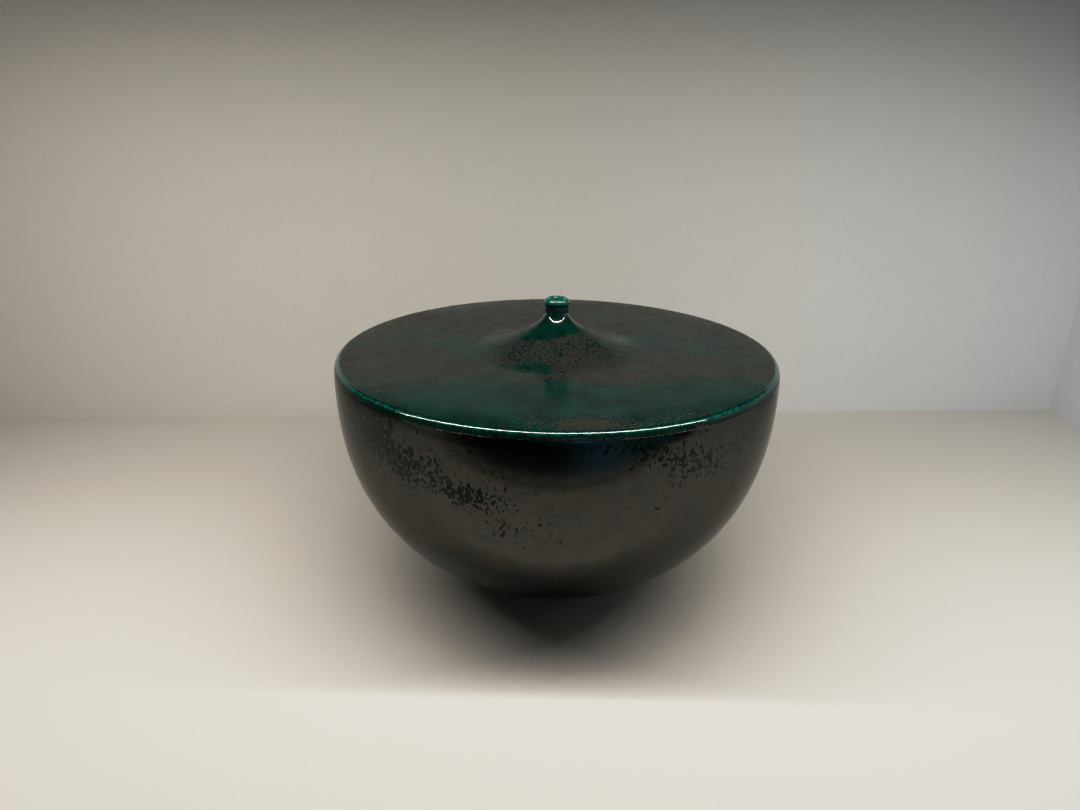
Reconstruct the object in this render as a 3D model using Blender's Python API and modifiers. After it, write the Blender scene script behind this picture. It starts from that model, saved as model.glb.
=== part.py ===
"""Covered bowl: a round-bellied stoneware bowl and a flat lid with a small open neck.

Units are metres and +Z is up. The origin lies on the axis of revolution, on the surface
that the foot ring stands on. Both pieces are turned about Z. The lid rests on the bowl's
rim, a flange under it drops inside the mouth and centres it, and it lifts straight off.

Every outline is a list of (radius, level) points. It starts on the inside, goes over the
top and runs down the outer side, so that the turned faces point outwards.
"""
from math import acos, atan, cos, pi, sin, tan

import bpy
from mathutils import Vector
from mathutils.geometry import interpolate_bezier

MM = 0.001

# Overall sizes
BODY_RADIUS = 100.0 * MM          # half the width of the belly at its widest
TOP_LEVEL = 112.0 * MM            # height of the lid's flat top
NECK_HEIGHT = 23.3 * MM           # from the flat top to the top of the lip

# Bowl
WIDEST_BELOW_TOP = 8.5 * MM       # the belly is widest this far under the flat top
SHOULDER_LEAN = 14.8              # how fast the side draws in above the widest level, per metre
BELLY_POWER_OUT = 2.12            # fullness of the belly sideways (2 is an ellipse)
BELLY_POWER_DOWN = 2.38           # fullness of the belly downwards (2 is an ellipse)
WALL = 5.5 * MM                   # thickness of the side wall
FLOOR_THICKNESS = 5.5 * MM        # thickness of the floor inside the foot ring
RIM_ROUNDING = 0.6 * MM           # rounding of the rim's two corners
FOOT_RADIUS = 35.0 * MM           # outer radius of the foot ring
FOOT_WIDTH = 6.5 * MM             # radial width of the foot ring
FOOT_RECESS = 3.0 * MM            # depth of the hollow inside the foot ring
FOOT_ROUNDING = 0.9 * MM          # rounding of the foot ring's corners

# Lid
LID_EDGE_HEIGHT = 3.5 * MM        # from the seat up to the flat top
LID_THICKNESS = 4.8 * MM          # thickness of the flat disc
SHOULDER_ROUNDING = 2.0 * MM      # rolled outer edge of the flat top
SEAT_ROUNDING = 0.4 * MM          # rounding of the lid's lower outer corner
FLANGE_DEPTH = 6.0 * MM           # how far the flange drops below the seat
FLANGE_THICKNESS = 4.5 * MM       # radial thickness of the flange
FLANGE_ROUNDING = 1.2 * MM        # rounding of the flange's lower corners
NECK_RADIUS = 5.5 * MM            # outer radius of the neck
BORE_RADIUS = 2.95 * MM           # radius of the open bore through the neck
LIP_OUTER_ROUNDING = 1.3 * MM     # rounding of the lip's outer corner
LIP_INNER_ROUNDING = 0.9 * MM     # rounding of the lip's inner corner
FLARE_TOP = 17.0 * MM             # the straight neck ends this far above the flat top
FLARE_RADIUS = 40.0 * MM          # the flare runs out into the flat top at this radius
FLARE_NECK_PULL = 6.7 * MM        # handle length of the flare's curve at the neck
FLARE_TOP_PULL = 10.0 * MM        # handle length of the flare's curve at the flat top
HOLLOW_RADIUS = 36.0 * MM         # the hollow under the flare ends in the underside here
HOLLOW_TOP = 9.5 * MM             # the straight bore ends this far above the flat top
HOLLOW_BORE_PULL = 8.0 * MM       # handle length of the hollow's curve at the bore
HOLLOW_DISC_PULL = 14.0 * MM      # handle length of the hollow's curve at the underside

# Fits between the two pieces
SEAT_GAP = 0.3 * MM               # between the lid's seat and the bowl's rim
FLANGE_CLEARANCE = 1.3 * MM       # radial room between the flange and the mouth

# Finishes: colour, roughness and metallic value
BOWL_FINISH = ((0.035, 0.045, 0.040), 0.25, 0.5)
LID_FINISH = ((0.010, 0.075, 0.050), 0.20, 0.2)

# Facets
TURN_STEPS = 48                   # facets round the axis
BELLY_STEPS = 10                  # points along each belly curve
SIDE_STEPS = 2                    # points along the side above the widest level
FLARE_STEPS = 9                   # points along each flare curve
CORNER_STEPS = 2                  # points along a rounded corner
MERGE_DISTANCE = 0.00005          # closes the seam and the poles of a turned shape

# Levels and radii worked out from the sizes above
WIDEST_LEVEL = TOP_LEVEL - WIDEST_BELOW_TOP
SEAT_LEVEL = TOP_LEVEL - LID_EDGE_HEIGHT
RIM_LEVEL = SEAT_LEVEL - SEAT_GAP
UNDERSIDE_LEVEL = TOP_LEVEL - LID_THICKNESS
INSIDE_FLOOR_LEVEL = FOOT_RECESS + FLOOR_THICKNESS


def side_radius(level):
    """Outer radius of the side at a level above the widest one."""
    return BODY_RADIUS - SHOULDER_LEAN * (level - WIDEST_LEVEL) ** 2


MOUTH_RADIUS = side_radius(RIM_LEVEL) - WALL
FLANGE_RADIUS = MOUTH_RADIUS - FLANGE_CLEARANCE


def belly_curve(radius, depth, first_angle, last_angle, steps):
    """Points on a belly that hangs from the widest level; angle 0 is the widest point."""
    points = []
    for step in range(steps + 1):
        angle = first_angle + (last_angle - first_angle) * step / steps
        reach = radius * max(cos(angle), 0.0) ** (2 / BELLY_POWER_OUT)
        drop = depth * max(sin(angle), 0.0) ** (2 / BELLY_POWER_DOWN)
        points.append(Vector((reach, WIDEST_LEVEL - drop)))
    return points


def side_curve(low, high, inset, steps):
    """Points up the side from one level to another, moved inwards by inset."""
    points = []
    for step in range(steps + 1):
        level = low + (high - low) * step / steps
        points.append(Vector((side_radius(level) - inset, level)))
    return points


def rounded(before, corner, after, radius):
    """Points of the arc that rounds the corner between two straight stretches."""
    into = (corner - before).normalized()
    out = (after - corner).normalized()
    turn = -into.angle_signed(out)
    reach = radius * tan(abs(turn) / 2)
    start = corner - into * reach
    side = 1 if turn > 0 else -1
    centre = start + Vector((-into.y, into.x)) * radius * side
    arm = start - centre
    points = []
    for step in range(CORNER_STEPS + 1):
        angle = turn * step / CORNER_STEPS
        turned = (arm.x * cos(angle) - arm.y * sin(angle), arm.x * sin(angle) + arm.y * cos(angle))
        points.append(centre + Vector(turned))
    return points


def rounded_run(before, corners, after):
    """Points of a run of straight stretches whose corners are (point, rounding) pairs."""
    path = [before] + [corner for corner, rounding in corners] + [after]
    points = []
    for index, (corner, rounding) in enumerate(corners):
        points.extend(rounded(path[index], corner, path[index + 2], rounding))
    return points


def bowl_outline():
    """Inside floor, inner wall, rim, outer side, belly, foot ring and underside."""
    inner_depth = WIDEST_LEVEL - INSIDE_FLOOR_LEVEL
    inside = belly_curve(BODY_RADIUS - WALL, inner_depth, pi / 2, 0.0, BELLY_STEPS)
    mouth = side_curve(WIDEST_LEVEL, RIM_LEVEL, WALL, SIDE_STEPS)
    rim_inner = mouth[-1]
    side = side_curve(RIM_LEVEL, WIDEST_LEVEL, 0.0, SIDE_STEPS)
    rim_outer = side[0]
    rim = rounded_run(mouth[-2], [(rim_inner, RIM_ROUNDING), (rim_outer, RIM_ROUNDING)], side[1])
    foot_angle = acos((FOOT_RADIUS / BODY_RADIUS) ** (BELLY_POWER_OUT / 2))
    belly = belly_curve(BODY_RADIUS, WIDEST_LEVEL, 0.0, foot_angle, BELLY_STEPS)
    foot_inner_radius = FOOT_RADIUS - FOOT_WIDTH
    recess_corner = Vector((foot_inner_radius - FOOT_RECESS, FOOT_RECESS))
    foot = rounded_run(belly[-1], [
        (Vector((FOOT_RADIUS, 0.0)), FOOT_ROUNDING),
        (Vector((foot_inner_radius, 0.0)), FOOT_ROUNDING),
        (recess_corner, FOOT_ROUNDING),
    ], Vector((0.0, FOOT_RECESS)))
    return inside + mouth[1:-1] + rim + side[1:-1] + belly + foot + [Vector((0.0, FOOT_RECESS))]


def shoulder_arc():
    """Rolled edge between the flat top and the side, tangent to both."""
    lean = atan(2 * SHOULDER_LEAN * (TOP_LEVEL - SHOULDER_ROUNDING - WIDEST_LEVEL))
    side_level = TOP_LEVEL - SHOULDER_ROUNDING * (1 - sin(lean))
    centre = Vector((side_radius(side_level) - SHOULDER_ROUNDING * cos(lean),
                     TOP_LEVEL - SHOULDER_ROUNDING))
    points = []
    steps = 2 * CORNER_STEPS
    for step in range(steps + 1):
        angle = pi / 2 + (lean - pi / 2) * step / steps
        points.append(centre + SHOULDER_ROUNDING * Vector((cos(angle), sin(angle))))
    return points


def lid_outline():
    """Bore, lip, neck, flare, flat top, rolled edge, seat, flange and underside."""
    lip_level = TOP_LEVEL + NECK_HEIGHT
    bore_end = Vector((BORE_RADIUS, TOP_LEVEL + HOLLOW_TOP))
    neck_end = Vector((NECK_RADIUS, TOP_LEVEL + FLARE_TOP))
    lip = rounded_run(bore_end, [
        (Vector((BORE_RADIUS, lip_level)), LIP_INNER_ROUNDING),
        (Vector((NECK_RADIUS, lip_level)), LIP_OUTER_ROUNDING),
    ], neck_end)
    flare_end = Vector((FLARE_RADIUS, TOP_LEVEL))
    flare = interpolate_bezier(neck_end, neck_end - Vector((0.0, FLARE_NECK_PULL)),
                               flare_end - Vector((FLARE_TOP_PULL, 0.0)), flare_end,
                               FLARE_STEPS + 1)
    shoulder = shoulder_arc()
    seat_outer = Vector((side_radius(SEAT_LEVEL), SEAT_LEVEL))
    flange_bottom = SEAT_LEVEL - FLANGE_DEPTH
    flange_inner = FLANGE_RADIUS - FLANGE_THICKNESS
    hollow_end = Vector((HOLLOW_RADIUS, UNDERSIDE_LEVEL))
    under = rounded_run(shoulder[-1], [
        (seat_outer, SEAT_ROUNDING),
        (Vector((FLANGE_RADIUS, SEAT_LEVEL)), FLANGE_ROUNDING),
        (Vector((FLANGE_RADIUS, flange_bottom)), FLANGE_ROUNDING),
        (Vector((flange_inner, flange_bottom)), FLANGE_ROUNDING),
        (Vector((flange_inner, UNDERSIDE_LEVEL)), FLANGE_ROUNDING),
    ], hollow_end)
    hollow = interpolate_bezier(hollow_end, hollow_end - Vector((HOLLOW_DISC_PULL, 0.0)),
                                bore_end - Vector((0.0, HOLLOW_BORE_PULL)), bore_end,
                                FLARE_STEPS + 1)
    return lip + flare + shoulder + under + hollow


def glaze(name, colour, roughness, metallic):
    """A glazed surface: dark green with a dull metallic skin."""
    material = bpy.data.materials.new(name)
    material.use_nodes = True
    shader = material.node_tree.nodes["Principled BSDF"]
    shader.inputs["Base Color"].default_value = (*colour, 1.0)
    shader.inputs["Roughness"].default_value = roughness
    shader.inputs["Metallic"].default_value = metallic
    return material


def turned_piece(name, outline, origin_level, closed, material, collection):
    """Turn an outline about Z into a solid whose origin lies on the axis at a level."""
    count = len(outline)
    edges = [(index, index + 1) for index in range(count - 1)]
    if closed:
        edges.append((count - 1, 0))
    mesh = bpy.data.meshes.new(name)
    mesh.from_pydata([(point.x, 0.0, point.y - origin_level) for point in outline], edges, [])
    mesh.materials.append(material)
    piece = bpy.data.objects.new(name, mesh)
    piece.location = (0.0, 0.0, origin_level)
    collection.objects.link(piece)
    screw = piece.modifiers.new("turn", "SCREW")
    screw.angle = 2 * pi
    screw.steps = TURN_STEPS
    screw.render_steps = TURN_STEPS
    screw.use_merge_vertices = True
    screw.merge_threshold = MERGE_DISTANCE
    screw.use_smooth_shade = True
    return piece


def clear_scene():
    """Remove every object that the scene starts with."""
    for thing in list(bpy.data.objects):
        bpy.data.objects.remove(thing, do_unlink=True)


def main():
    """Build the bowl and its lid in one collection."""
    clear_scene()
    collection = bpy.data.collections.new("rice_bowl")
    bpy.context.scene.collection.children.link(collection)
    bowl_glaze = glaze("bowl_glaze", *BOWL_FINISH)
    lid_glaze = glaze("lid_glaze", *LID_FINISH)
    turned_piece("bowl", bowl_outline(), 0.0, False, bowl_glaze, collection)
    turned_piece("lid", lid_outline(), SEAT_LEVEL, True, lid_glaze, collection)


main()
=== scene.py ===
"""Rice bowl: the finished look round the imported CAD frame.

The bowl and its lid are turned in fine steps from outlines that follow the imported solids, and
each rides on its own CAD body. Both wear a green glaze under a dark metallic lustre, which
breaks away in flecks. The studio is a pale floor and wall under one long strip light.
All sizes are in metres, and +Z is up. The axis of revolution is the Z axis.
"""

import logging
from dataclasses import dataclass, field
from enum import Enum
from functools import lru_cache
from math import acos, atan, cos, pi, radians, sin, tan

import bpy
from mathutils import Matrix, Vector
from mathutils.geometry import interpolate_bezier


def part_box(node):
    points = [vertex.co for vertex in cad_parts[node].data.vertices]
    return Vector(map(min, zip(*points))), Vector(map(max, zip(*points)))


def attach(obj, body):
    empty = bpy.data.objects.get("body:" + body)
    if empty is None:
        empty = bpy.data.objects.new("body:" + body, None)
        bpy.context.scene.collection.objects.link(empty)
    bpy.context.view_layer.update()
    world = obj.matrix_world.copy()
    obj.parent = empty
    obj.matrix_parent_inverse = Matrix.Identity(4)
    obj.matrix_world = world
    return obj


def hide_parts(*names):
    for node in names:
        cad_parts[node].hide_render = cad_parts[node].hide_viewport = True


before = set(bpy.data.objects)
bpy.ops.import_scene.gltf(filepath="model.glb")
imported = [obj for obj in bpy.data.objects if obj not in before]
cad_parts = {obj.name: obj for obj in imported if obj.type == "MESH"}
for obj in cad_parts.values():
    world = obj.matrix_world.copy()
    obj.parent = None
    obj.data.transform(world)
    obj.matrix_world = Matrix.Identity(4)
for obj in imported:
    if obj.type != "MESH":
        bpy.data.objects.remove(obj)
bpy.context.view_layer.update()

MM = 0.001
LOG = logging.getLogger("rice_bowl")

Colour = tuple[float, float, float]
Corners = list[tuple[float, float, float]]
Socket = bpy.types.NodeSocket
Feed = Socket | float | int | str | tuple | Vector | bpy.types.Material


class Body(str, Enum):
    """The CAD bodies, which carry the nodes of the same names."""

    BOWL = "bowl"
    LID = "lid"


class Trait(str, Enum):
    """What an outline says about the surface along it, from 0 to 1."""

    # EDGE is real thin glaze over edges, and on the lid's rim and lip also painted light
    EDGE = "glaze_edge_and_painted_light"       # the glaze thins over an edge and shows bright green
    BAND = "lustre_band"      # lustre gathered in a band
    GLOSS = "wet_gloss"       # thick glaze with a wet shine
    LINER = "liner"           # plain dark glaze on the hidden inside
    BARE = "bare_clay"        # no glaze at all
    STILL = "still"           # no undulation, so that a joint stays even


class Layout(Enum):
    """How a glaze measures places for its spots."""

    UNROLLED = "unrolled"     # metres round the axis, distance from it, and level
    FLAT = "flat"             # plain X, Y and Z


class Sight(Enum):
    """Which rays meet a studio object."""

    ALL = "all"
    REFLECTIONS = "reflections"


# ---- node trees

class NodeSheet:
    """Adds nodes to one node tree and links them.

    Args:
        tree: the shader or geometry tree that the nodes go into.
    """

    def __init__(self, tree: bpy.types.NodeTree) -> None:
        self.tree = tree

    def add(self, kind: str, feeds: dict[str | int, Feed] | None = None,
            **settings: object) -> bpy.types.Node:
        """Add one node.

        Args:
            kind: the node's type name.
            feeds: what goes into its inputs, a link or a value, by input name or number.
            settings: properties of the node, set before its inputs.

        Returns:
            The new node.
        """
        node = self.tree.nodes.new(kind)
        for name, value in settings.items():
            setattr(node, name, value)
        self.fill(node, feeds or {})
        return node

    def fill(self, node: bpy.types.Node, feeds: dict[str | int, Feed]) -> None:
        """Feed several of a node's inputs, by name or number."""
        for key, value in feeds.items():
            self.feed(node.inputs[key], value)

    def feed(self, socket: Socket, value: Feed) -> None:
        """Link a socket into an input, or set the input's own value, a colour as opaque."""
        if isinstance(value, Socket):
            self.tree.links.new(value, socket)
        else:
            socket.default_value = (*value, 1.0) if socket.type == "RGBA" else value

    def math(self, operation: str, first: Feed, second: Feed = 0.0, third: Feed = 0.0) -> Socket:
        """Work out one number from up to three others."""
        feeds = {0: first, 1: second, 2: third}
        return self.add("ShaderNodeMath", feeds, operation=operation).outputs[0]

    def vector(self, operation: str, first: Feed, second: Feed = (0.0, 0.0, 0.0),
               output: str = "Vector") -> Socket:
        """Work out a vector, or with output="Value" a number, from one or two vectors."""
        node = self.add("ShaderNodeVectorMath", {0: first, 1: second}, operation=operation)
        return node.outputs[output]

    def fade(self, value: Feed, low: Feed, high: Feed, to_low: Feed = 0.0,
             to_high: Feed = 1.0) -> Socket:
        """Turn a value smoothly from to_low at low into to_high at high."""
        node = self.add("ShaderNodeMapRange", {
            "Value": value, "From Min": low, "From Max": high, "To Min": to_low, "To Max": to_high,
        }, interpolation_type="SMOOTHSTEP")
        return node.outputs["Result"]

    def noise(self, place: Feed, cell: Feed, detail: float = 2.0, roughness: float = 0.5,
              distortion: float = 0.0) -> Socket:
        """Soft noise from 0 to 1, with cells of a size in metres."""
        scale = 1 / cell if isinstance(cell, float) else self.math("DIVIDE", 1.0, cell)
        node = self.add("ShaderNodeTexNoise", {
            "Vector": place, "Scale": scale, "Detail": detail, "Roughness": roughness,
            "Distortion": distortion,
        })
        return node.outputs["Fac"]

    def centred_noise(self, place: Feed, cell: Feed, detail: float = 2.0,
                      roughness: float = 0.5) -> Socket:
        """Soft noise from -0.5 to 0.5."""
        return self.math("SUBTRACT", self.noise(place, cell, detail, roughness), 0.5)

    def scale(self, vector: Feed, factor: Feed) -> Socket:
        """Multiply a vector by one number."""
        return self.add("ShaderNodeVectorMath", {0: vector, "Scale": factor},
                        operation="SCALE").outputs[0]

    def split(self, vector: Feed) -> bpy.types.bpy_prop_collection:
        """Take a vector apart into outputs X, Y and Z."""
        return self.add("ShaderNodeSeparateXYZ", {0: vector}).outputs

    def group(self, tree: bpy.types.NodeTree,
              feeds: dict[str, Feed]) -> bpy.types.bpy_prop_collection:
        """Add a node group with its inputs, and return its outputs."""
        return self.add("ShaderNodeGroup", feeds, node_tree=tree).outputs

    def blend(self, share: Feed, first: Feed, second: Feed) -> Socket:
        """Mix two numbers."""
        feeds = {0: share, 2: first, 3: second}
        return self.add("ShaderNodeMix", feeds, data_type="FLOAT").outputs[0]

    def blend_colour(self, share: Feed, first: Feed, second: Feed) -> Socket:
        """Mix two colours."""
        feeds = {0: share, 6: first, 7: second}
        return self.add("ShaderNodeMix", feeds, data_type="RGBA").outputs[2]

    def blend_shader(self, share: Feed, first: Socket, second: Socket) -> Socket:
        """Mix two shaders."""
        return self.add("ShaderNodeMixShader", {0: share, 1: first, 2: second}).outputs[0]


def new_material(name: str) -> tuple[bpy.types.Material, NodeSheet, Socket]:
    """Start a material, and return it with its sheet and the place on the object."""
    material = bpy.data.materials.new(name)
    material.use_nodes = True
    sheet = NodeSheet(material.node_tree)
    return material, sheet, sheet.add("ShaderNodeTexCoord").outputs["Object"]


class NodeGroup:
    """A shader node group with named inputs and outputs.

    Args:
        name: the group's name.
        inputs: each input's name, socket type and first value.
        outputs: each output's name and socket type.
    """

    def __init__(self, name: str, inputs: list[tuple[str, str, object]],
                 outputs: list[tuple[str, str]]) -> None:
        self.tree = bpy.data.node_groups.new(name, "ShaderNodeTree")
        for label, kind, value in inputs:
            socket = self.tree.interface.new_socket(label, in_out="INPUT", socket_type=kind)
            if value is not None:
                socket.default_value = value
        for label, kind in outputs:
            self.tree.interface.new_socket(label, in_out="OUTPUT", socket_type=kind)
        self.sheet = NodeSheet(self.tree)
        self.inside = self.sheet.add("NodeGroupInput").outputs
        self.result = self.sheet.add("NodeGroupOutput").inputs

    def put_out(self, label: str, value: Socket) -> None:
        """Link a value to one of the group's outputs."""
        self.sheet.feed(self.result[label], value)


CLAY_DARK = (0.105, 0.068, 0.046)
CLAY_PALE = (0.150, 0.108, 0.078)
CLAY_SPECK = (0.030, 0.022, 0.018)

NUMBER = "NodeSocketFloat"
VECTOR = "NodeSocketVector"
COLOUR = "NodeSocketColor"


@lru_cache(maxsize=None)
def round_place_group() -> bpy.types.NodeTree:
    """Build the group that unrolls a place on the ware to distances round and up it.

    Returns:
        A group from Vector and Radius to Place: metres round the axis from the front at that
        radius, distance from the axis, and level.
    """
    group = NodeGroup("round_place", [("Vector", VECTOR, None), ("Radius", NUMBER, 0.1)],
                      [("Place", VECTOR)])
    sheet = group.sheet
    parts = sheet.split(group.inside["Vector"])
    towards_front = sheet.math("MULTIPLY", parts["Y"], -1.0)
    angle = sheet.math("ARCTAN2", parts["X"], towards_front)
    flat = sheet.add("ShaderNodeCombineXYZ", {"X": parts["X"], "Y": parts["Y"]}).outputs[0]
    place = sheet.add("ShaderNodeCombineXYZ", {
        "X": sheet.math("MULTIPLY", angle, group.inside["Radius"]),
        "Y": sheet.vector("LENGTH", flat, output="Value"),
        "Z": parts["Z"],
    })
    group.put_out("Place", place.outputs[0])
    return group.tree


@lru_cache(maxsize=None)
def soft_spot_group() -> bpy.types.NodeTree:
    """Build the group for one soft oval spot.

    Returns:
        A group from Place, Centre and Reach to Weight, which is 1 at the centre and fades out
        to 0 at the reach.
    """
    group = NodeGroup("soft_spot", [
        ("Place", VECTOR, None), ("Centre", VECTOR, (0.0, 0.0, 0.0)),
        ("Reach", VECTOR, (1.0, 1.0, 1.0)),
    ], [("Weight", NUMBER)])
    sheet = group.sheet
    offset = sheet.vector("SUBTRACT", group.inside["Place"], group.inside["Centre"])
    share = sheet.vector("DIVIDE", offset, group.inside["Reach"])
    distance = sheet.vector("LENGTH", share, output="Value")
    group.put_out("Weight", sheet.fade(distance, 0.0, 1.0, 1.0, 0.0))
    return group.tree


@lru_cache(maxsize=None)
def lustre_break_group() -> bpy.types.NodeTree:
    """Build the group that breaks the lustre into flecks.

    Returns:
        A group from Vector, Cell, Stretch, Cover and Softness to Lustre. Cover is 0 where half
        of the glaze shows, and above about 0.2 the lustre is whole. Softness is how much cover
        a fleck's border takes up.
    """
    group = NodeGroup("lustre_break", [
        ("Vector", VECTOR, None), ("Cell", NUMBER, 1.5 * MM), ("Stretch", VECTOR, (1.0, 1.0, 1.0)),
        ("Cover", NUMBER, 0.0), ("Softness", NUMBER, 0.015),
    ], [("Lustre", NUMBER)])
    sheet = group.sheet
    place = sheet.vector("DIVIDE", group.inside["Vector"], group.inside["Stretch"])
    fine = sheet.noise(place, group.inside["Cell"], 1.6, 0.55, 0.7)
    value = sheet.math("ADD", fine, group.inside["Cover"])
    low = sheet.math("SUBTRACT", 0.5, group.inside["Softness"])
    high = sheet.math("ADD", 0.5, group.inside["Softness"])
    group.put_out("Lustre", sheet.fade(value, low, high))
    return group.tree


@lru_cache(maxsize=None)
def bare_clay_group() -> bpy.types.NodeTree:
    """Build the group for unglazed dark stoneware.

    Returns:
        A group from Vector and Trait to Colour, Height and Bare, the share of bare clay with
        an uneven glaze line.
    """
    group = NodeGroup("bare_clay", [("Vector", VECTOR, None), ("Trait", NUMBER, 0.0)],
                      [("Colour", COLOUR), ("Height", NUMBER), ("Bare", NUMBER)])
    sheet = group.sheet
    place = group.inside["Vector"]
    grain = sheet.noise(place, 0.7 * MM, 3.0, 0.6)
    cloud = sheet.noise(place, 9.0 * MM, 2.0)
    toasted = sheet.blend_colour(sheet.fade(cloud, 0.35, 0.65), CLAY_DARK, CLAY_PALE)
    speck = sheet.fade(sheet.noise(place, 1.3 * MM, 1.0), 0.66, 0.71)
    colour = sheet.blend_colour(speck, toasted, CLAY_SPECK)
    wobble = sheet.centred_noise(place, 3.0 * MM)
    edge = sheet.math("MULTIPLY_ADD", wobble, 0.9, group.inside["Trait"])
    group.put_out("Colour", colour)
    group.put_out("Height", grain)
    group.put_out("Bare", sheet.fade(edge, 0.46, 0.54))
    return group.tree


# ---- the glaze

@dataclass(frozen=True)
class Spot:
    """A soft spot where the lustre covers more, or less, than round it.

    Args:
        centre: its middle, in the material's places.
        reach: how far it fades out each way.
        cover: how much lustre it adds; below 0 it lets the glaze through.
    """

    centre: Vector
    reach: Vector
    cover: float


# what each trait adds to the lustre's cover where it is 1
COVER_CHANGES = {Trait.EDGE: -1.5, Trait.GLOSS: -1.1, Trait.BAND: 1.0, Trait.LINER: -2.0}


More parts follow.
